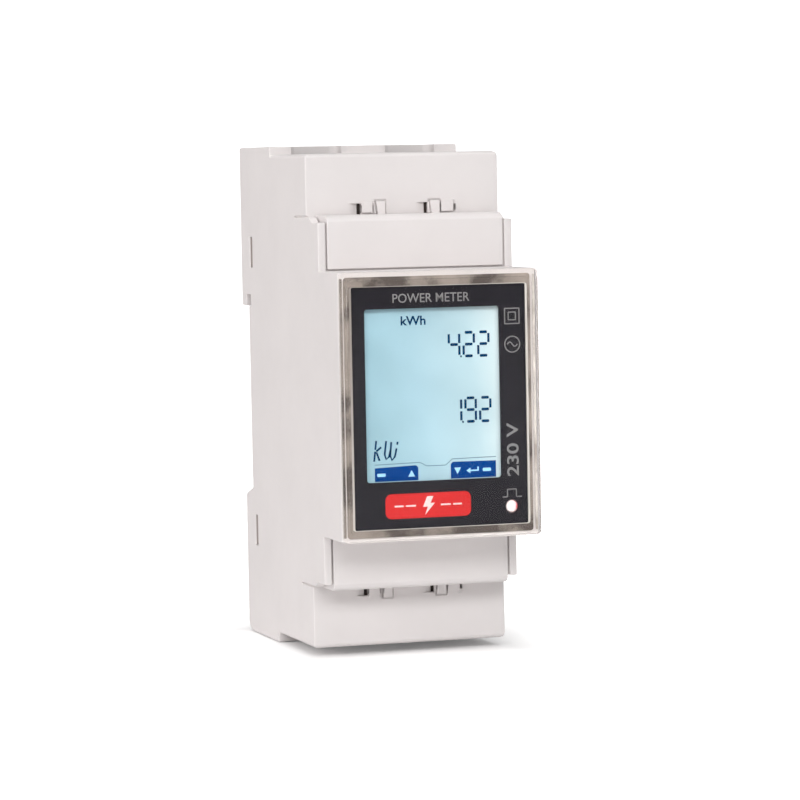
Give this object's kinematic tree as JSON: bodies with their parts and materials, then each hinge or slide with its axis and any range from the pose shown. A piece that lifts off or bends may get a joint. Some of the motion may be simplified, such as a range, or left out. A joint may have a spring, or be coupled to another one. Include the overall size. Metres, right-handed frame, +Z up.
{
  "type": "modular din rail electric meter",
  "caption": "Two-module DIN-rail electric meter: stepped light grey housing, clear front cover over a dark label and LCD, sealable terminal covers, cable clamps and a sprung rail latch.",
  "frame": {"origin": "centre of the seat face that rests on the 35 mm rail", "axes": "+Y from the front towards the rail, +Z up towards the fixed hook, +X to the right of someone reading the display"},
  "size_m": [0.035, 0.063, 0.0886],
  "materials": {
    "housing_plastic": "satin",
    "cover_plastic": "satin",
    "latch_plastic": "satin",
    "spring_steel": "bright",
    "clear_polycarbonate": "clear, polished",
    "label_print": "matte print",
    "clear_film": "clear",
    "lcd_glass": "gloss",
    "light_guide": "diffusing",
    "frame_plastic": "matte",
    "led_resin": "gloss",
    "circuit_board": "solder mask",
    "black_moulding": "matte",
    "white_moulding": "matte",
    "red_moulding": "satin",
    "transformer_core": "matte",
    "capacitor_sleeve": "sleeve",
    "blue_coating": "epoxy",
    "green_moulding": "matte",
    "copper": "tinned edges, bright",
    "shunt_alloy": "dull",
    "clamp_steel": "zinc plated",
    "screw_steel": "zinc plated"
  },
  "bodies": {
    "meter_body": {"housing": "housing_plastic", "rear_cover": "housing_plastic", "latch_spring": "spring_steel", "clear_front_cover": "clear_polycarbonate", "label_plate": "label_print", "touch_film": "clear_film", "lcd_panel": "lcd_glass", "backlight_guide": "light_guide", "display_frame": "frame_plastic", "light_pipe": "light_guide", "pulse_led": "led_resin", "display_board": "circuit_board", "display_header": "black_moulding", "main_board": "circuit_board", "metering_chip": "black_moulding", "processor_chip": "black_moulding", "optocoupler": "white_moulding", "board_link": "black_moulding", "power_board": "circuit_board", "film_capacitor": "red_moulding", "transformer": "transformer_core", "electrolytic_capacitor_1": "capacitor_sleeve", "electrolytic_capacitor_2": "capacitor_sleeve", "varistor": "blue_coating", "comm_terminal": "green_moulding", "phase_bar_upper": "copper", "phase_bar_lower": "copper", "neutral_bar": "copper", "current_shunt": "shunt_alloy"},
    "upper_cover": {"upper_terminal_cover": "cover_plastic"},
    "lower_cover": {"lower_terminal_cover": "cover_plastic"},
    "latch": {"rail_latch": "latch_plastic"},
    "upper_phase_screw_body": {"upper_phase_screw": "screw_steel"},
    "upper_phase_clamp_body": {"upper_phase_clamp": "clamp_steel"},
    "upper_neutral_screw_body": {"upper_neutral_screw": "screw_steel"},
    "upper_neutral_clamp_body": {"upper_neutral_clamp": "clamp_steel"},
    "lower_phase_screw_body": {"lower_phase_screw": "screw_steel"},
    "lower_phase_clamp_body": {"lower_phase_clamp": "clamp_steel"},
    "lower_neutral_screw_body": {"lower_neutral_screw": "screw_steel"},
    "lower_neutral_clamp_body": {"lower_neutral_clamp": "clamp_steel"}
  },
  "joints": [
    {"name": "rail_latch_slide", "type": "slide", "parent": "meter_body", "child": "latch", "axis": [0, 0, -1], "range_m": [0, 0.0036], "stiffness_N_per_m": 500, "springref_m": -0.003, "deforming": ["latch_spring"]},
    {"name": "upper_cover_slide", "type": "slide", "parent": "meter_body", "child": "upper_cover", "axis": [0, -1, 0], "range_m": [0, 0.018]},
    {"name": "lower_cover_slide", "type": "slide", "parent": "meter_body", "child": "lower_cover", "axis": [0, -1, 0], "range_m": [0, 0.018]},
    {"name": "upper_phase_screw_turn", "type": "hinge", "parent": "meter_body", "child": "upper_phase_screw_body", "pos_m": [-0.00875, -0.0388, 0.027], "axis": [0, 1, 0], "range_deg": [0, 2520]},
    {"name": "upper_phase_clamp_slide", "type": "slide", "parent": "meter_body", "child": "upper_phase_clamp_body", "axis": [0, -1, 0], "range_m": [0, 0.0056]},
    {"name": "upper_neutral_screw_turn", "type": "hinge", "parent": "meter_body", "child": "upper_neutral_screw_body", "pos_m": [0.00875, -0.0388, 0.027], "axis": [0, 1, 0], "range_deg": [0, 2520]},
    {"name": "upper_neutral_clamp_slide", "type": "slide", "parent": "meter_body", "child": "upper_neutral_clamp_body", "axis": [0, -1, 0], "range_m": [0, 0.0056]},
    {"name": "lower_phase_screw_turn", "type": "hinge", "parent": "meter_body", "child": "lower_phase_screw_body", "pos_m": [-0.00875, -0.0388, -0.027], "axis": [0, 1, 0], "range_deg": [0, 2520]},
    {"name": "lower_phase_clamp_slide", "type": "slide", "parent": "meter_body", "child": "lower_phase_clamp_body", "axis": [0, -1, 0], "range_m": [0, 0.0056]},
    {"name": "lower_neutral_screw_turn", "type": "hinge", "parent": "meter_body", "child": "lower_neutral_screw_body", "pos_m": [0.00875, -0.0388, -0.027], "axis": [0, 1, 0], "range_deg": [0, 2520]},
    {"name": "lower_neutral_clamp_slide", "type": "slide", "parent": "meter_body", "child": "lower_neutral_clamp_body", "axis": [0, -1, 0], "range_m": [0, 0.0056]}
  ],
  "couplings": [
    {"joint": "upper_phase_screw_turn", "follows": "upper_phase_clamp_slide", "rad_per_m": 7853.9},
    {"joint": "upper_neutral_screw_turn", "follows": "upper_neutral_clamp_slide", "rad_per_m": 7853.9},
    {"joint": "lower_phase_screw_turn", "follows": "lower_phase_clamp_slide", "rad_per_m": 7853.9},
    {"joint": "lower_neutral_screw_turn", "follows": "lower_neutral_clamp_slide", "rad_per_m": 7853.9}
  ]
}
